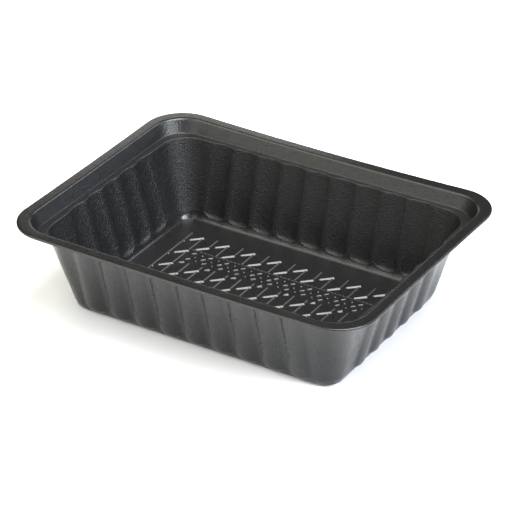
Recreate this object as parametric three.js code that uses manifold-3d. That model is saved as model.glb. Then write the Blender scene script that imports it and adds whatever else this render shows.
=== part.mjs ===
// Empty food container: one thin-walled, deep drawn rectangular tray, open at the top.
// Millimetres, +Z up. Origin at the middle of the underside of the floor.
// Long sides run along X, short sides along Y.
import * as THREE from 'three';
import Module from 'manifold-3d';

// ---- driving sizes -------------------------------------------------------
const LENGTH = 227;            // over the rim, along X
const WIDTH = 173.6;           // over the rim, along Y
const HEIGHT = 56;             // underside of floor to top of rim
const RIM_RADIUS = 24.0;       // plan radius of the rim's outer corners
const SKIN = 0.6;              // wall thickness
const FLOOR_SKIN = 0.7;        // floor thickness
const BASE_X = 85.8;           // half length of the base, sharp corner of the outside
const BASE_Y = 60.6;           // half width of the base, sharp corner of the outside
const WALL_TOP_X = 99.0;       // half length of the outside wall just under the ledge
const WALL_TOP_Y = 73.4;       // half width of the outside wall just under the ledge
const WALL_TOP_Z = 47.6;       // height of the ledge
const BASE_RADIUS = 11.7;      // plan radius of the base corners
const WALL_RADIUS = 17.1;      // plan radius of the wall corners just under the ledge
const HEEL_RADIUS = 3.2;       // fillet between wall and base, outside
const FLUTE_PITCH = 16.7;      // spacing of the flutes on all four sides
const FLUTES_LONG = 9;         // flutes on a long side
const FLUTES_SHORT = 5;        // flutes on a short side
const FLUTE_HALF = 6.4;        // half width of one flute
const FLUTE_TOP = 2.35;        // outward bulge of a flute at the ledge
const FLUTE_FOOT = 1.75;       // outward bulge of a flute at its foot
const FOOT_Z = 2.4;            // height of the small lens-shaped shelf at a flute's foot (inside)
const RIM_BOW = 0.4;           // inward bow of the rim at the middle of each side
const RIM_SAG = 1.1;           // dip of the rim at the middle of the long sides
const FIELD_PITCH = 8.9;       // half diagonal of the lattice diamonds on the floor
const FIELD_COLS = 8;          // lattice columns each side of the middle
const FIELD_ROWS = 5;          // lattice rows each side of the middle
const BAR_WIDTH = 1.5;         // width of a lattice bar at its foot
const BAR_RISE = 0.45;         // height of a lattice bar above the floor
const PANEL = { x: 60, y0: 13.6, y1: 27.6 };   // plain raised panel in the lattice

// ---- plan loops ----------------------------------------------------------
const halfX = LENGTH / 2, halfY = WIDTH / 2;
const endX = (FLUTES_LONG - 1) / 2 * FLUTE_PITCH + FLUTE_HALF + 0.7;
const endY = (FLUTES_SHORT - 1) / 2 * FLUTE_PITCH + FLUTE_HALF + 0.7;

// bulge of the flute row at distance s along a side, 0..1
function flute(s, count) {
  const k = Math.max(-(count - 1) / 2, Math.min((count - 1) / 2, Math.round(s / FLUTE_PITCH)));
  const d = Math.abs(s - k * FLUTE_PITCH);
  if (d >= FLUTE_HALF) return 0;
  return 1 - (d / FLUTE_HALF) ** 2;
}
const ribSteps = [-1, -0.78, -0.42, 0, 0.42, 0.78, 1];
function sideStations(count, fine) {
  const out = [];
  const end = (count - 1) / 2 * FLUTE_PITCH + FLUTE_HALF + 0.7;
  if (fine) {
    for (let k = -(count - 1) / 2; k <= (count - 1) / 2; k++)
      for (const r of ribSteps) out.push(k * FLUTE_PITCH + r * FLUTE_HALF);
    out[0] = -end; out[out.length - 1] = end;
  } else {
    const n = Math.round(end / 9);
    for (let i = 0; i <= n; i++) out.push(-end + 2 * end * i / n);
  }
  return out;
}
// one closed loop, counter-clockwise seen from above.
// half sizes hx, hy, corner radius r, height z, flute bulge a
function loop(hx, hy, r, z, a, fine) {
  const pts = [];
  const arc = fine ? 8 : 8;
  const xs = sideStations(FLUTES_LONG, fine), ys = sideStations(FLUTES_SHORT, fine);
  const add = (x, y, u) => pts.push({ x, y, z, u });
  const corner = (cx, cy, t0, u0) => {
    for (let i = 0; i <= arc; i++) {
      const t = t0 + Math.PI / 2 * i / arc;
      add(cx + r * Math.cos(t), cy + r * Math.sin(t), u0 + 0.3 + 0.4 * i / arc);
    }
  };
  xs.forEach(s => add(s, -(hy + a * flute(s, FLUTES_LONG)), (s + endX) / (2 * endX)));
  corner(hx - r, -(hy - r), -Math.PI / 2, 1);
  ys.forEach(s => add(hx + a * flute(s, FLUTES_SHORT), s, 2 + (s + endY) / (2 * endY)));
  corner(hx - r, hy - r, 0, 3);
  xs.forEach(s => add(-s, hy + a * flute(s, FLUTES_LONG), 4 + (s + endX) / (2 * endX)));
  corner(-(hx - r), hy - r, Math.PI / 2, 5);
  ys.forEach(s => add(-(hx + a * flute(s, FLUTES_SHORT)), -s, 6 + (s + endY) / (2 * endY)));
  corner(-(hx - r), -(hy - r), Math.PI, 7);
  for (const p of pts) settle(p);
  return pts;
}
// slight bow and sag of the free rim
function settle(p) {
  const w = Math.max(0, Math.min(1, (p.z - 20) / (HEIGHT - 20))) ** 3.5;
  if (w === 0) return;
  const mx = Math.max(0, 1 - (p.x / 89) ** 2) * (Math.abs(p.y) / halfY) ** 4;
  const my = Math.max(0, 1 - (p.y / 62) ** 2) * (Math.abs(p.x) / halfX) ** 4;
  const sy = Math.sign(p.y), sx = Math.sign(p.x);
  p.y -= sy * RIM_BOW * w * mx;
  p.x -= sx * RIM_BOW * w * my;
  p.z -= RIM_SAG * w * mx;
}
const wallX = z => BASE_X + (WALL_TOP_X - BASE_X) * z / WALL_TOP_Z;
const wallY = z => BASE_Y + (WALL_TOP_Y - BASE_Y) * z / WALL_TOP_Z;
const wallR = z => BASE_RADIUS + (WALL_RADIUS - BASE_RADIUS) * z / WALL_TOP_Z;
const bulge = z => FLUTE_FOOT + (FLUTE_TOP - FLUTE_FOOT) * (z - FOOT_Z) / (WALL_TOP_Z - FOOT_Z);

// ---- section, from the middle of the inside floor over the rim to the underside ----
const levels = [];
const ring = (hx, hy, r, z, a = 0, fine = true) => levels.push(loop(hx, hy, r, z, a, fine));
const rimRing = (s, down, r) => ring(halfX - s, halfY - s, r, HEIGHT - down, 0, false);
// heel fillet: point at angle t (0 = on the floor, 1 = on the wall), inside (g > 0) or outside
function heel(t, inside) {
  const r = inside ? HEEL_RADIUS - SKIN : HEEL_RADIUS;
  const z0 = inside ? FLOOR_SKIN : 0, cut = inside ? SKIN * 1.03 : 0;
  const slope = Math.atan(((WALL_TOP_X - BASE_X) + (WALL_TOP_Y - BASE_Y)) / 2 / WALL_TOP_Z);
  const sweep = (Math.PI / 2 - slope) * t;
  const reach = r * Math.tan((Math.PI / 2 - slope) / 2);
  const dx = -reach + r * Math.sin(sweep), dz = r - r * Math.cos(sweep);
  return { hx: wallX(z0) - cut + dx, hy: wallY(z0) - cut + dx, z: z0 + dz,
    r: BASE_RADIUS - reach + r * Math.sin(sweep) - cut };
}
const ringHeel = (t, inside, a = 0, fine = true) => {
  const h = heel(t, inside);
  ring(h.hx, h.hy, h.r, h.z, a, fine);
};
const ringWall = (z, inside, a, drop = 0) =>
  ring(wallX(z) - (inside ? SKIN * 1.03 : 0) - drop, wallY(z) - (inside ? SKIN * 1.03 : 0) - drop,
    wallR(z) - drop, z, a);

// inside
ringHeel(0, true, 0, false);
ringHeel(0.4, true, 0, false);
ringHeel(0.72, true);
{ const h = heel(0.8, true); ring(h.hx, h.hy, h.r, FOOT_Z + 0.1, FLUTE_FOOT); }
ringWall(4.2, true, bulge(4.2));
ringWall(WALL_TOP_Z - 0.7, true, bulge(WALL_TOP_Z));
ringWall(WALL_TOP_Z, true, FLUTE_TOP - 0.1, -0.45);
rimRing(10.5, HEIGHT - WALL_TOP_Z - 0.25, 17);
rimRing(10.0, HEIGHT - WALL_TOP_Z - 0.9, 17.3);
rimRing(8.4, 2.1, 18.4);
rimRing(7.4, 0.6, 19);
rimRing(5.8, 0.0, 20.2);
rimRing(1.1, 0.0, 23.2);
rimRing(0.3, 0.3, 23.8);
rimRing(0.0, 0.7, RIM_RADIUS);
// outside
rimRing(0.05, 1.2, 23.95);
rimRing(0.55, 1.2, 23.6);
rimRing(1.3, SKIN, 23.0);
rimRing(6.1, SKIN, 20);
rimRing(7.8, 2.1, 18.9);
rimRing(9.4, HEIGHT - WALL_TOP_Z - 0.7, 17.8);
rimRing(9.9, HEIGHT - WALL_TOP_Z + 0.35, 17.3);
ringWall(WALL_TOP_Z - SKIN, false, FLUTE_TOP - 0.1, -0.4);
ringWall(WALL_TOP_Z - 1.4, false, bulge(WALL_TOP_Z));
ringWall(3.8, false, bulge(3.8));
{ const h = heel(0.72, false); ring(h.hx, h.hy, h.r, 1.9, FLUTE_FOOT * 0.9); }
ringHeel(0.5, false);
ringHeel(0.25, false, 0, false);
ringHeel(0, false, 0, false);

// ---- shell from the rings ------------------------------------------------
function shell() {
  const verts = [], tris = [];
  const index = levels.map(l => l.map(p => (verts.push(p.x, p.y, p.z), verts.length / 3 - 1)));
  for (let k = 0; k + 1 < levels.length; k++) {
    const A = levels[k], B = levels[k + 1], ia = index[k], ib = index[k + 1];
    let i = 0, j = 0;
    const ua = n => A[n % A.length].u + 8 * Math.floor(n / A.length);
    const ub = n => B[n % B.length].u + 8 * Math.floor(n / B.length);
    while (i < A.length || j < B.length) {
      const a = ia[i % A.length], b = ib[j % B.length];
      const stepA = j >= B.length || (i < A.length && ua(i + 1) <= ub(j + 1));
      if (stepA) { tris.push(a, b, ia[(i + 1) % A.length]); i++; }
      else { tris.push(a, b, ib[(j + 1) % B.length]); j++; }
    }
  }
  const cap = (l, ids, up) => {
    const hub = verts.length / 3;
    verts.push(0, 0, l[0].z);
    ids.forEach((a, n) => {
      const b = ids[(n + 1) % ids.length];
      up ? tris.push(hub, a, b) : tris.push(hub, b, a);
    });
  };
  cap(levels[0], index[0], true);
  cap(levels[levels.length - 1], index[levels.length - 1], false);
  return { verts: new Float32Array(verts), tris: new Uint32Array(tris) };
}

// ---- floor lattice -------------------------------------------------------
// a straight bar with a trapezoid section standing on the floor, from p to q
function bar(p, q, width, rise) {
  const d = new THREE.Vector2(q[0] - p[0], q[1] - p[1]).normalize();
  const n = new THREE.Vector2(-d.y, d.x);
  const foot = width / 2, top = width * 0.22, z0 = FLOOR_SKIN - 0.3, z1 = FLOOR_SKIN + rise;
  const v = [];
  for (const e of [p, q]) for (const [o, z] of [[-foot, z0], [foot, z0], [top, z1], [-top, z1]])
    v.push(e[0] + n.x * o, e[1] + n.y * o, z);
  const t = [0, 2, 1, 0, 3, 2, 4, 5, 6, 4, 6, 7];
  for (let i = 0; i < 4; i++) { const j = (i + 1) % 4; t.push(i, j, i + 4, j, j + 4, i + 4); }
  return { verts: new Float32Array(v), tris: new Uint32Array(t) };
}
function bars() {
  const out = [];
  const X = FIELD_COLS * FIELD_PITCH, Y = FIELD_ROWS * FIELD_PITCH;
  // both diagonal families, clipped to the field
  for (const s of [1, -1]) for (let c = -FIELD_COLS - FIELD_ROWS + 1; c < FIELD_COLS + FIELD_ROWS; c++) {
    if ((c & 1) !== 0) continue;
    const d = c * FIELD_PITCH;               // x - s*y = d
    const lo = Math.max(-Y, s > 0 ? -X - d : d - X), hi = Math.min(Y, s > 0 ? X - d : d + X);
    if (hi - lo < FIELD_PITCH * 0.6) continue;
    out.push(bar([d + s * lo, lo], [d + s * hi, hi], BAR_WIDTH, BAR_RISE + (s > 0 ? 0.02 : 0)));
  }
  return out;
}
function box(x0, x1, y0, y1, z0, z1) {
  const g = new THREE.BoxGeometry(x1 - x0, y1 - y0, z1 - z0);
  g.translate((x0 + x1) / 2, (y0 + y1) / 2, (z0 + z1) / 2);
  const p = g.attributes.position.array, map = new Map(), v = [], t = [];
  for (let i = 0; i < g.index.count; i++) {
    const k = g.index.getX(i), key = [p[3 * k], p[3 * k + 1], p[3 * k + 2]].map(n => n.toFixed(4)).join();
    if (!map.has(key)) { map.set(key, v.length / 3); v.push(p[3 * k], p[3 * k + 1], p[3 * k + 2]); }
    t.push(map.get(key));
  }
  return { verts: new Float32Array(v), tris: new Uint32Array(t) };
}

// ---- one solid -----------------------------------------------------------
const wasm = await Module();
wasm.setup();
const { Manifold, Mesh } = wasm;
const solid = m => new Manifold(new Mesh({ numProp: 3, vertProperties: m.verts, triVerts: m.tris }));
const body = solid(shell());
const panel = solid(box(-PANEL.x, PANEL.x, PANEL.y0, PANEL.y1, FLOOR_SKIN - 0.3, FLOOR_SKIN + BAR_RISE + 0.05));
const whole = Manifold.union([body, ...bars().map(solid), panel]);
const out = whole.getMesh();

const geometry = new THREE.BufferGeometry();
const pos = new Float32Array(out.numVert * 3);
for (let i = 0; i < out.numVert; i++)
  for (let k = 0; k < 3; k++) pos[3 * i + k] = out.vertProperties[i * out.numProp + k];
geometry.setAttribute('position', new THREE.BufferAttribute(pos, 3));
geometry.setIndex(new THREE.BufferAttribute(new Uint32Array(out.triVerts), 1));
geometry.computeVertexNormals();

const plastic = new THREE.MeshStandardMaterial({ color: 0x232325, roughness: 0.32, metalness: 0.0 });
plastic.name = 'black_plastic';
const tray = new THREE.Mesh(geometry, plastic);
tray.name = 'tray';

const part = new THREE.Group();
part.name = 'food_container';
part.add(tray);
export default part;
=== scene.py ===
# Looks of the empty food container: a thin black plastic tray, open at the top.
# Metres in the scene, millimetres in the shape functions. +Z up, origin under the middle of the floor.
import bpy
import math
import numpy as np
from mathutils import Matrix, Vector


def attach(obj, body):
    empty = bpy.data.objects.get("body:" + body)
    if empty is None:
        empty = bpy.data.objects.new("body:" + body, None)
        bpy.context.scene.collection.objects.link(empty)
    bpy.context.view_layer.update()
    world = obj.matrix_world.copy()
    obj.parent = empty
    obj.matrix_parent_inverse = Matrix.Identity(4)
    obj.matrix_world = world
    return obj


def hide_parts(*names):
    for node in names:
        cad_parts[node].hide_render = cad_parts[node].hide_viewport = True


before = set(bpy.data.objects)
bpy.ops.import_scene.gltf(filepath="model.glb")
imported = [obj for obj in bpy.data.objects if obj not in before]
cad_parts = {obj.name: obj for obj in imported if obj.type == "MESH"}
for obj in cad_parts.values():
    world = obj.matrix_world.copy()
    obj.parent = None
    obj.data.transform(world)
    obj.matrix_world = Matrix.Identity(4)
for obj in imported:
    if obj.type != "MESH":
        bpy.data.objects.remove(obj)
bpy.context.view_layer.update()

# ---- sizes, as the frame's solid ------------------------------------------
LENGTH, WIDTH, HEIGHT = 227.0, 173.6, 56.0
SKIN, FLOOR_SKIN = 0.6, 0.7
BASE_X, BASE_Y = 86.0, 60.8
WALL_TOP_X, WALL_TOP_Y, WALL_TOP_Z = 99.0, 73.4, 47.6
BASE_RADIUS, WALL_RADIUS, HEEL_RADIUS = 11.0, 17.1, 4.0
PITCH, RIBS_LONG, RIBS_SHORT = 16.7, 9, 5
RIM_BOW, RIM_SAG = 0.4, 1.1
RIB_HALF = 6.9
FIELD_PITCH, FIELD_PITCH_Y = 8.9, 8.44
HX, HY = LENGTH / 2, WIDTH / 2
CUT = 1.45                                     # the rib rows end this much before half a pitch
END_X = (RIBS_LONG / 2) * PITCH - CUT
END_Y = (RIBS_SHORT / 2) * PITCH - CUT


def smooth(a, b, x):
    t = np.clip((x - a) / (b - a), 0.0, 1.0)
    return t * t * (3 - 2 * t)


# ---- plan: one closed loop of stations --------------------------------------
def side(count):
    """Stations along one side, denser near the grooves."""
    half = np.array([0.085, 0.17, 0.25, 0.31, 0.35, 0.38, 0.41, 0.45])
    cell = np.concatenate([[-0.5], -half[::-1], [0.0], half])
    s = np.concatenate([(k + cell) * PITCH for k in np.arange(count) - (count - 1) / 2])
    end = count / 2 * PITCH - CUT
    return np.concatenate([[-end], s[np.abs(s) < end - 0.1], [end]])


def rib(s, count, soft=0.13):
    """Bulge 0..1 of the rib row at distance s along a side: round ribs with a narrow flat band between them."""
    k = np.clip(np.round(s / PITCH), -(count - 1) / 2, (count - 1) / 2)
    u = 1 - ((s - k * PITCH) / RIB_HALF) ** 2
    f = lambda v: 0.5 * (v + np.sqrt(v * v + soft * soft))
    low = f(1 - (PITCH / 2 / RIB_HALF) ** 2)
    return np.maximum(0.0, (f(np.maximum(u, 1 - (PITCH / 2 / RIB_HALF) ** 2)) - low) / (f(1.0) - low))


SIDE_X, SIDE_Y = side(RIBS_LONG), side(RIBS_SHORT)
N_LINE, N_ARC = 3, 18


def loop(hx, hy, r):
    """Plan points of a rounded rectangle, their outward direction, the rib bulge and the rib phase, all at fixed stations."""
    x, y, nx, ny, g, away = [], [], [], [], [], []

    def add(px, py, ox, oy, gg, ff):
        x.append(px); y.append(py); nx.append(ox); ny.append(oy); g.append(gg); away.append(ff)

    gx, gy = rib(SIDE_X, RIBS_LONG), rib(SIDE_Y, RIBS_SHORT)
    fx, fy = off_rib(SIDE_X, RIBS_LONG), off_rib(SIDE_Y, RIBS_SHORT)
    runs = (
        (1, 0, 0, -1, hx, hy, SIDE_X, gx, fx, END_X, END_Y),
        (0, 1, 1, 0, hy, hx, SIDE_Y, gy, fy, END_Y, END_X),
        (-1, 0, 0, 1, hx, hy, SIDE_X, gx, fx, END_X, END_Y),
        (0, -1, -1, 0, hy, hx, SIDE_Y, gy, fy, END_Y, END_X),
    )
    for dx, dy, ox, oy, along, out, ss, gg, ff, end, end2 in runs:
        for s, b, f in zip(ss, gg, ff):
            add(dx * s + ox * out, dy * s + oy * out, ox, oy, b, f)
        # straight run to the corner, arc, straight run to the next side
        a1 = (along - r) - end
        for i in range(1, N_LINE + 1):
            s = end + a1 * i / (N_LINE + 1)
            add(dx * s + ox * out, dy * s + oy * out, ox, oy, 0, 9)
        cx = dx * (along - r) + ox * (out - r)
        cy = dy * (along - r) + oy * (out - r)
        for i in range(N_ARC + 1):
            t = math.pi / 2 * i / N_ARC
            ux = ox * math.cos(t) + dx * math.sin(t)
            uy = oy * math.cos(t) + dy * math.sin(t)
            add(cx + r * ux, cy + r * uy, ux, uy, 0, 9)
        a2 = (out - r) - end2
        for i in range(1, N_LINE + 1):
            s = end2 + a2 * (N_LINE + 1 - i) / (N_LINE + 1)
            # on the next side, before its stations
            add(dx * along + ox * s, dy * along + oy * s, dx, dy, 0, 9)
    return [np.array(v) for v in (x, y, nx, ny, g, away)]


def off_rib(s, count):
    """Distance from the middle of the nearest rib, mm."""
    k = np.clip(np.round(s / PITCH), -(count - 1) / 2, (count - 1) / 2)
    return np.abs(s - k * PITCH)


def settle(x, y, z):
    """Slight bow and sag of the free rim."""
    w = np.clip((z - 20) / (HEIGHT - 20), 0, 1) ** 3.5
    mx = np.maximum(0, 1 - (x / 89) ** 2) * (np.abs(y) / HY) ** 4
    my = np.maximum(0, 1 - (y / 62) ** 2) * (np.abs(x) / HX) ** 4
    return x - np.sign(x) * RIM_BOW * w * my, y - np.sign(y) * RIM_BOW * w * mx, z - RIM_SAG * w * mx


def wall_x(z): return BASE_X + (WALL_TOP_X - BASE_X) * z / WALL_TOP_Z
def wall_y(z): return BASE_Y + (WALL_TOP_Y - BASE_Y) * z / WALL_TOP_Z
def wall_r(z): return BASE_RADIUS + (WALL_RADIUS - BASE_RADIUS) * z / WALL_TOP_Z


FOOT_LOW, FOOT_HIGH = 2.6, 5.0               # inside, where a rib's foot starts: at its middle and at its sides
ROUND_D, ROUND_Z, HOLLOW_D, HOLLOW_Z, SHELF_Z = 0.5, 0.9, 0.8, 1.9, 0.25


def foot(t, full):
    """Point t (0..1) up a rib's rounded foot: height above its start, outward bulge. full is the bulge above the foot."""
    k = np.minimum(1, full / (ROUND_D + HOLLOW_D + 0.15))
    shelf = np.maximum(0, full - (ROUND_D + HOLLOW_D) * k)
    a = min(t / 0.4, 1) * math.pi / 2
    f = min(max((t - 0.4) / 0.2, 0), 1)
    b = max((t - 0.6) / 0.4, 0) * math.pi / 2
    d = k * ROUND_D * (1 - math.cos(a)) + shelf * f + k * HOLLOW_D * math.sin(b)
    return ROUND_Z * math.sin(a) + SHELF_Z * f + HOLLOW_Z * (1 - math.cos(b)), d


def rib_depth(z): return 1.75 + 0.6 * (z - 2) / 45.6


# ---- section: rows of (half length, half width, corner radius, height, rib amplitude, shelf amplitude) -------
def rounded(points):
    """Polyline (s, z, fillet radius, steps) made round at its corners."""
    out = []
    for i, (s, z, r, n) in enumerate(points):
        p = np.array([s, z])
        if i in (0, len(points) - 1) or r == 0:
            out.append(p); continue
        a = np.array(points[i - 1][:2]) - p
        b = np.array(points[i + 1][:2]) - p
        a, b = a / np.linalg.norm(a), b / np.linalg.norm(b)
        half = math.acos(np.clip(np.dot(a, b), -1, 1)) / 2
        t = r / math.tan(half)
        c = p + (a + b) / np.linalg.norm(a + b) * (r / math.sin(half))
        v0, v1 = p + a * t - c, p + b * t - c
        ang = math.pi - 2 * half
        for k in range(n + 1):
            f = k / n
            w = (math.sin((1 - f) * ang) * v0 + math.sin(f * ang) * v1) / math.sin(ang)
            out.append(c + w)
    return out


def rim_radius(s):
    """Plan radius of the corner at inset s from the rim's outer edge."""
    return float(np.interp(s, [0, 8, 10, 14.5], [24.0, 18.6, 17.4, 16.6]))


def skin(inside):
    rows = []
    cut = SKIN * 1.03 if inside else 0.0
    off = 0.0 if inside else SKIN

    def row(hx, hy, r, z, a=0.0, f=0.0): rows.append((hx, hy, r, z, a, f))

    # heel and floor
    slope = math.atan(((WALL_TOP_X - BASE_X) + (WALL_TOP_Y - BASE_Y)) / 2 / WALL_TOP_Z)
    r = HEEL_RADIUS - SKIN if inside else HEEL_RADIUS
    z0 = FLOOR_SKIN if inside else 0.0
    sweep = math.pi / 2 - slope
    reach = r * math.tan(sweep / 2)

    def tight(z):
        """The inner corners draw in towards the floor."""
        return 1.0 * (1 - smooth(4, 30, z)) + 3.0 * max(0.0, 1 - (z - z0) / 3.4) ** 1.5 if inside else 0.0

    def heel(z):
        """Half sizes on heel and wall at height z."""
        if z - z0 < r * (1 - math.cos(sweep)):
            t = math.acos(1 - (z - z0) / r)
            d = -reach + r * math.sin(t)
            return wall_x(z0) - cut + d, wall_y(z0) - cut + d, BASE_RADIUS + d - cut * 0.5 - tight(z)
        return wall_x(z) - cut, wall_y(z) - cut, wall_r(z) - cut * 0.5 - tight(z)

    # a flat ring first, so that the floor's shading stays level
    hx, hy, hr = heel(z0)
    row(hx - 0.7, hy - 0.7, hr - 0.5, z0)
    for t in (0, 0.1, 0.2, 0.3, 0.4, 0.5, 0.58):
        z = z0 + r * (1 - math.cos(sweep * t))
        if z < FOOT_LOW - off * 0.9 - 0.1:
            row(*heel(z), z)
    # the ribs' feet
    for t in ((0, .08, .16, .24, .32, .4, .5, .6, .68, .76, .84, .92, 1) if inside else (0, .15, .3, .42, .58, .7, .85, 1)):
        z = FOOT_LOW - off * 0.9
        rows.append((heel, z, rib_depth(3), t + 1))
    # inside, the channels are a little shallower than the ribs are outside
    shallow = 0.52 if inside else 0.0
    for z in (9.0, 12.0, 16.0, 21.0, 26.0, 31.0, 36.0, 41.0, 46.2):
        ease = 1 - shallow * float(smooth(5, 21, z))
        row(wall_x(z) - cut, wall_y(z) - cut, wall_r(z) - cut * 0.5 - tight(z), z, rib_depth(z) * ease)
    # ledge, band, flange
    s_wall = HY - (wall_y(47.6) - cut)
    wide = (HX - (wall_x(47.6) - cut)) - s_wall      # the ledge is this much wider on the short sides
    k = (WALL_TOP_Y - BASE_Y) / WALL_TOP_Z
    zl = 47.75 - off                          # ledge height
    pts = rounded([
        (s_wall + k * 1.0, 46.6, 0, 0),
        (s_wall, zl, 0.8 if inside else 0.5, 5),
        (10.35 if inside else 10.3, zl + 0.22, 0.75 if inside else 1.2, 4),
        (7.35 - off * 0.86, 56 - off, 2.2 if inside else 1.8, 8),
        (5.0, 56 - off, 0, 0),
    ])
    for s, z in pts[1:]:
        # the ribs cut into the ledge: full depth at its inner edge, none at its outer end
        w = min(1.0, max(0.0, (s - 10.9) / (s_wall - 11.5)))
        row(HX - s - wide * w, HY - s, rim_radius(s), z, rib_depth(z) * w * (1 - shallow))
    if inside:
        for s, z in ((3.2, 56.0), (1.4, 56.0), (0.85, 55.985), (0.5, 55.93), (0.22, 55.8), (0.06, 55.58), (0.0, 55.3), (0.0, 55.0)):
            row(HX - s, HY - s, rim_radius(s), z)
    else:
        for s, z in ((3.0, 56 - off), (1.1, 56 - off), (0.75, 55.3), (0.62, 55.1), (0.5, 54.85), (0.22, 54.72), (0.04, 54.8)):
            row(HX - s, HY - s, rim_radius(s), z)
    return rows


def rings(rows, power=1.0):
    """power above 1 makes the ribs flatter along their middle."""
    out = []
    for line in rows:
        if len(line) == 6:
            hx, hy, r, z, a, f = line
            x, y, nx, ny, g, away = loop(hx, hy, r)
            g = 1 - (1 - g) ** power
            x, y, zz = x + nx * a * g, y + ny * a * g, np.full_like(x, z)
        else:
            # a row of the ribs' feet: every station has its own height on the heel or the wall
            section, z, a, f = line
            g, away = loop(*section(z))[4:]
            g = 1 - (1 - g) ** power
            rise, d = foot(f - 1, a * g)
            u = np.minimum(away / RIB_HALF, 1)
            zz = z + rise + (FOOT_HIGH - FOOT_LOW) * (1 - np.sqrt(1 - u * u))
            x, y = np.empty_like(zz), np.empty_like(zz)
            for level in np.unique(zz):
                px, py, nx, ny = loop(*section(level))[:4]
                k = zz == level
                x[k], y[k] = (px + nx * d)[k], (py + ny * d)[k]
        x, y, zz = settle(x, y, zz)
        out.append(np.stack([x, y, zz], 1))
    return out


# ---- floor relief: raised bars and studs standing on the floor ------------------------
def stadium(verts, faces, smooth_faces, p, q, levels, start=1.0, steps=6):
    """A closed ridge from p to q with rounded ends. levels: (half width, height above the floor), foot first.
    start scales the section at p, so that the ridge can swell towards q."""
    d = np.array(q, float) - np.array(p, float)
    d = d / np.linalg.norm(d) if np.linalg.norm(d) > 1e-6 else np.array([1.0, 0.0])
    n = np.array([-d[1], d[0]])
    first = len(verts)
    m = 2 * (steps + 1)
    for o, h in levels:
        for end, scale, sign in ((q, 1.0, 1.0), (p, start, -1.0)):
            for k in range(steps + 1):
                t = math.pi * k / steps
                w = (-n * math.cos(t) + d * math.sin(t)) * sign * o * scale
                verts.append([end[0] + w[0], end[1] + w[1], FLOOR_SKIN + (h * scale if h > 0 else h)])
    for l in range(len(levels) - 1):
        a, b = first + l * m, first + (l + 1) * m
        for k in range(m):
            j = (k + 1) % m
            # the long flanks stay flat, the rounded ends are smooth
            smooth_faces.append(k not in (steps, m - 1))
            faces.append((a + k, a + j, b + j, b + k))
    faces.append(tuple(first + (len(levels) - 1) * m + k for k in range(m)))
    faces.append(tuple(first + k for k in range(m))[::-1])
    smooth_faces.extend([False, False])


RISING = ((1.62, -0.12), (1.45, 0.05), (0.40, 0.72), (0.14, 0.80))
FALLING = ((0.55, -0.1), (0.15, 0.12))
CROSS = ((0.60, -0.1), (0.46, 0.06), (0.16, 0.30), (0.05, 0.34))
BEAD = ((0.75, -0.1), (0.62, 0.18), (0.36, 0.36), (0.12, 0.42))
STUD = ((1.2, -0.1), (1.05, 0.16), (0.75, 0.42), (0.4, 0.58), (0.12, 0.62))
EDGE = ((0.55, -0.1), (0.42, 0.08), (0.12, 0.2))
PANEL = (-60.6, 61.8, 13.6, 28.2)


def build_relief(verts, faces, smooth_faces):
    """Adds the relief and returns the span of faces that belongs to the fine lines."""
    p, q = FIELD_PITCH, FIELD_PITCH_Y
    x0, x1, y0, y1 = PANEL
    top = 5 * q

    def free(x, y, m=0.6):
        return not (x0 - m < x < x1 + m and y0 - m < y < y1 + m)

    def trimmed(a, b):
        """The pieces of a straight run a-b that lie off the panel."""
        a, b = np.array(a, float), np.array(b, float)
        n = max(2, int(np.linalg.norm(b - a) / 0.1))
        run, out = [], []
        for k in range(n + 1):
            c = a + (b - a) * k / n
            if free(*c):
                run.append(c)
            elif run:
                out.append((run[0], run[-1])); run = []
        if run:
            out.append((run[0], run[-1]))
        return [(u, v) for u, v in out if np.linalg.norm(v - u) > 0.9]

    for j in range(-5, 6):
        for i in range(-8, 9):
            if (i + j) % 2:
                continue
            # swelling bar that ends at each crossing, thin bar falling away from it
            if i > -8 and j > -5:
                for u, v in trimmed(((i - 0.64) * p, (j - 0.64) * q), (i * p + 0.1, j * q + 0.2)):
                    stadium(verts, faces, smooth_faces, u, v, RISING, 0.72)
            elif i == -8 and abs(j) < 5:
                stadium(verts, faces, smooth_faces, (i * p, j * q), (i * p + 0.4, j * q + 0.4), RISING, 0.8)
            if i < 8 and j > -5:
                for u, v in trimmed((i * p + 1, j * q - 1), ((i + 1) * p - 1, (j - 1) * q + 1)):
                    stadium(verts, faces, smooth_faces, u, v, FALLING, 1.0, 3)
    fine = len(faces)
    for i in range(-8, 9):
        ends = (-top - 2.0, top + 2.0) if i % 2 == 0 else (-top, top)
        for u, v in trimmed((i * p, ends[0]), (i * p, ends[1])):
            if v[1] > y1 and i % 2 == 0 and -7 < i < 8:
                u = np.array([u[0], 4 * q])
            stadium(verts, faces, smooth_faces, u, v, CROSS, 1.0, 4)
    span = (fine, len(faces))
    # the panel: rows of studs, alternately round and oblong, and a beaded edge
    for row, (y, start) in enumerate(((24.4, -57.0), (20.8, -54.2), (17.2, -57.0))):
        for i in range(21):
            c = np.array([start + 5.6 * i, y])
            w = np.array([0.75, 0.75]) if (i + row) % 2 == 0 else np.array([0.01, 0.0])
            stadium(verts, faces, smooth_faces, c - w, c + w, STUD, 1.0, 5)
    stadium(verts, faces, smooth_faces, (x0, 27.8), (x1, 27.8), EDGE, 1.0, 4)
    for i in range(47):
        c = np.array([x0 + 0.6 + 2.6 * i, 27.8])
        stadium(verts, faces, smooth_faces, c, c + np.array([0.35, 0.0]), BEAD, 1.0, 4)
    return span


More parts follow.
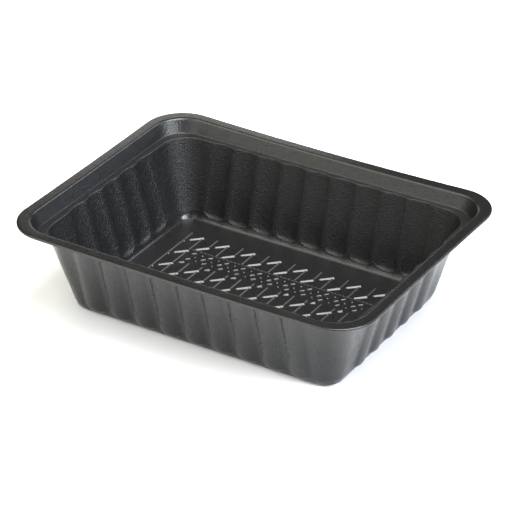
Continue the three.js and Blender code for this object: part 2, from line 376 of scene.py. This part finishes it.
def build_tray():
    verts, faces = [], []
    inner = rings(skin(True), 1.1)
    outer = rings(skin(False))
    loops = inner + outer[::-1]
    n = len(loops[0])
    base = []
    for l in loops:
        base.append(len(verts))
        verts.extend(l.tolist())
    grain = []
    for k, (a, b) in enumerate(zip(base[:-1], base[1:])):
        level = loops[k][:, 2].mean()
        if k >= len(inner) - 1:
            amount = 0.12
        elif level > 47.5:
            amount = 0.45 if level < 55 else 0.1
        else:
            amount = 1.0 if level > 3 else 0.25
        grain.extend([amount] * n)
        for i in range(n):
            j = (i + 1) % n
            faces.append((a + i, b + i, b + j, a + j))
    # inner floor, then the relief on it
    hub = len(verts)
    verts.append([0, 0, FLOOR_SKIN])
    for i in range(n):
        faces.append((hub, base[0] + i, base[0] + (i + 1) % n))
    grain.extend([0.4] * n)
    # underside of the floor
    hub = len(verts)
    verts.append([0, 0, 0])
    last = base[-1]
    for i in range(n):
        faces.append((hub, last + (i + 1) % n, last + i))
    shade = [True] * len(faces)
    span = build_relief(verts, faces, shade)
    mesh = bpy.data.meshes.new("tray_shell")
    mesh.from_pydata((np.array(verts) * 0.001).tolist(), [], faces)
    mesh.polygons.foreach_set("use_smooth", shade)
    # mask of the fine floor lines, which the material paints paler as a painted highlight
    fine = np.zeros(len(faces), dtype=np.float32)
    fine[span[0]:span[1]] = 1.0
    mesh.attributes.new("fine", "FLOAT", "FACE").data.foreach_set("value", fine)
    grain = np.array(grain + [0.1] * (len(faces) - len(grain)), dtype=np.float32)
    mesh.attributes.new("grain", "FLOAT", "FACE").data.foreach_set("value", grain)
    mesh.validate()
    mesh.update()
    obj = bpy.data.objects.new("tray_shell", mesh)
    bpy.context.scene.collection.objects.link(obj)
    return obj


# ---- finish -----------------------------------------------------------------------
def plastic():
    m = bpy.data.materials.new("black_plastic")
    m.use_nodes = True
    t = m.node_tree
    t.nodes.clear()
    N = t.nodes.new
    L = t.links.new
    out = N("ShaderNodeOutputMaterial")
    b = N("ShaderNodeBsdfPrincipled")
    L(b.outputs[0], out.inputs[0])
    b.inputs["IOR"].default_value = 1.52
    co = N("ShaderNodeTexCoord")
    # base colour: black with a faint cloud
    n1 = N("ShaderNodeTexNoise"); n1.inputs["Scale"].default_value = 90.0; n1.inputs["Detail"].default_value = 4.0
    L(co.outputs["Object"], n1.inputs["Vector"])
    ramp = N("ShaderNodeValToRGB")
    ramp.color_ramp.elements[0].color = (0.0028, 0.0028, 0.0030, 1)
    ramp.color_ramp.elements[1].color = (0.0062, 0.0062, 0.0066, 1)
    L(n1.outputs["Fac"], ramp.inputs["Fac"])
    # painted highlight: the fine lines on the floor get a paler base colour that stands in for the light they catch;
    # they are also a little duller
    painted_highlight_lines = N("ShaderNodeAttribute"); painted_highlight_lines.attribute_name = "fine"
    mix = N("ShaderNodeMix"); mix.data_type = "RGBA"
    L(painted_highlight_lines.outputs["Fac"], mix.inputs["Factor"])
    # the grained walls look a little greyer and less glossy
    rough = N("ShaderNodeAttribute"); rough.attribute_name = "grain"
    grey = N("ShaderNodeMix"); grey.data_type = "RGBA"
    L(rough.outputs["Fac"], grey.inputs["Factor"])
    L(ramp.outputs["Color"], grey.inputs[6])
    grey.inputs[7].default_value = (0.0060, 0.0060, 0.0067, 1)
    L(grey.outputs[2], mix.inputs[6])
    soft = N("ShaderNodeMath"); soft.operation = "MULTIPLY_ADD"
    soft.inputs[1].default_value = -0.14; soft.inputs[2].default_value = 0.5
    L(rough.outputs["Fac"], soft.inputs[0])
    L(soft.outputs[0], b.inputs["Specular IOR Level"])
    # painted highlight: the pale grey base colour of the fine floor lines
    mix.inputs[7].default_value = (0.035, 0.035, 0.037, 1)
    L(mix.outputs[2], b.inputs["Base Color"])
    # gloss: satin, a little uneven
    n2 = N("ShaderNodeTexNoise"); n2.inputs["Scale"].default_value = 240.0; n2.inputs["Detail"].default_value = 3.0
    L(co.outputs["Object"], n2.inputs["Vector"])
    mr = N("ShaderNodeMapRange")
    mr.inputs["To Min"].default_value = 0.19; mr.inputs["To Max"].default_value = 0.30
    L(n2.outputs["Fac"], mr.inputs["Value"])
    dull = N("ShaderNodeMix")
    L(painted_highlight_lines.outputs["Fac"], dull.inputs["Factor"])
    L(mr.outputs["Result"], dull.inputs[2])
    dull.inputs[3].default_value = 0.5
    walls = N("ShaderNodeMath"); walls.operation = "MULTIPLY_ADD"
    walls.inputs[1].default_value = 0.16
    L(dull.outputs[0], walls.inputs[2])
    L(walls.outputs[0], b.inputs["Roughness"])
    # fine grain of the moulded sheet
    n3 = N("ShaderNodeTexNoise"); n3.inputs["Scale"].default_value = 1300.0; n3.inputs["Detail"].default_value = 1.0
    n4 = N("ShaderNodeTexNoise"); n4.inputs["Scale"].default_value = 420.0; n4.inputs["Detail"].default_value = 2.0
    L(co.outputs["Object"], n3.inputs["Vector"])
    L(co.outputs["Object"], n4.inputs["Vector"])
    b1 = N("ShaderNodeBump"); b1.inputs["Strength"].default_value = 0.8; b1.inputs["Distance"].default_value = 0.00055
    b2 = N("ShaderNodeBump"); b2.inputs["Strength"].default_value = 0.4; b2.inputs["Distance"].default_value = 0.0001
    # the inner walls carry the grain, the rim, the outside and the relief are smooth
    L(rough.outputs["Fac"], b1.inputs["Strength"])
    L(rough.outputs["Fac"], walls.inputs[0])
    L(n3.outputs["Fac"], b1.inputs["Height"])
    L(n4.outputs["Fac"], b2.inputs["Height"])
    L(b1.outputs["Normal"], b2.inputs["Normal"])
    L(b2.outputs["Normal"], b.inputs["Normal"])
    return m


tray = build_tray()
tray.data.materials.append(plastic())
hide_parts("tray")
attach(tray, "root")

# ---- stage ---------------------------------------------------------------------------
def flat_material(name, colour, rough):
    m = bpy.data.materials.new(name)
    m.use_nodes = True
    b = m.node_tree.nodes["Principled BSDF"]
    b.inputs["Base Color"].default_value = (*colour, 1)
    b.inputs["Roughness"].default_value = rough
    b.inputs["Specular IOR Level"].default_value = 0.0
    return m


fm = bpy.data.meshes.new("floor")
S = 4.0
fm.from_pydata([(-S, -S, -0.0003), (S, -S, -0.0003), (S, S, -0.0003), (-S, S, -0.0003)], [], [(0, 1, 2, 3)])
floor = bpy.data.objects.new("floor", fm)
bpy.context.scene.collection.objects.link(floor)
floor.data.materials.append(flat_material("floor_pale", (0.93, 0.93, 0.93), 0.9))

world = bpy.data.worlds.new("studio")
world.use_nodes = True
world.node_tree.nodes["Background"].inputs[0].default_value = (1.0, 0.99, 0.87, 1)
world.node_tree.nodes["Background"].inputs[1].default_value = 0.15
bpy.context.scene.world = world


def area(name, place, target, size, size_y, watts, colour=(1, 1, 1)):
    l = bpy.data.lights.new(name, "AREA")
    l.shape = "RECTANGLE"
    l.size, l.size_y, l.energy, l.color = size, size_y, watts, colour
    o = bpy.data.objects.new(name, l)
    bpy.context.scene.collection.objects.link(o)
    o.location = place
    o.visible_camera = False
    o.rotation_mode = "QUATERNION"
    o.rotation_quaternion = (Vector(target) - Vector(place)).to_track_quat("-Z", "Y")
    return o


def softbox(name, azimuth, height, size, size_y, watts, colour, far=1.6):
    """Area light at a compass angle (0 along +X, 90 along +Y) and height angle, in degrees."""
    a, e = math.radians(azimuth), math.radians(height)
    place = (far * math.cos(a) * math.cos(e), far * math.sin(a) * math.cos(e), far * math.sin(e))
    area(name, place, (0, 0, 0.02), size, size_y, watts, colour)


softbox("right", -6, 35, 0.8, 0.7, 35, (0.88, 0.93, 1.0))
softbox("front", 262, 36, 1.4, 1.4, 14.4, (1.0, 0.99, 0.95))
softbox("left_front", 222, 56, 1.0, 0.8, 7.5, (1.0, 0.99, 0.92))
softbox("left_high", 180, 60, 1.1, 0.7, 5, (1.0, 0.98, 0.85))
softbox("low_left", 229, 12, 0.6, 0.2, 1.6, (1.0, 0.97, 0.84), 0.8)
softbox("low_right", 325, 16, 0.4, 0.45, 6.4, (0.82, 0.88, 1.0))
softbox("right_back", 80, 45, 0.5, 0.35, 4.0, (0.86, 0.92, 1.0))
softbox("right_low", 48, 10, 0.4, 0.12, 0.5, (0.75, 0.85, 1.0), 0.7)
softbox("overhead", 38, 78, 0.9, 0.85, 38, (1.0, 0.99, 0.97))
area("behind", (-0.33, 0.42, 0.240), (0, 0.05, 0.05), 0.26, 0.09, 0.17, (1.0, 0.99, 0.96))

# ---- camera ----------------------------------------------------------------------------
F, AZ, EL, ROLL = 2702.231, math.radians(31.62), math.radians(30.11), math.radians(-0.17)
TX, TY, TZ = -0.49, -23.92, 1511.6          # the rim's middle in the camera, mm (right, down, away)
back = Vector((math.sin(AZ) * math.cos(EL), -math.cos(AZ) * math.cos(EL), math.sin(EL)))
right = Vector((math.cos(AZ), math.sin(AZ), 0))
up = back.cross(right)
r2 = right * math.cos(ROLL) + up * math.sin(ROLL)
u2 = up * math.cos(ROLL) - right * math.sin(ROLL)
at = Vector((0, 0, HEIGHT)) - (r2 * TX - u2 * TY - back * TZ)
cam_data = bpy.data.cameras.new("camera")
cam_data.sensor_width = 36.0
cam_data.sensor_fit = "HORIZONTAL"
cam_data.lens = 36.0 * F / 512
cam_data.clip_start, cam_data.clip_end = 0.05, 50
cam = bpy.data.objects.new("camera", cam_data)
bpy.context.scene.collection.objects.link(cam)
m = Matrix((r2, u2, back)).transposed().to_4x4()
m.translation = at * 0.001
cam.matrix_world = m
bpy.context.scene.camera = cam
bpy.context.scene.view_settings.view_transform = "Standard"

print("faces", len(tray.data.polygons), "triangles", sum(len(p.vertices) - 2 for p in tray.data.polygons))
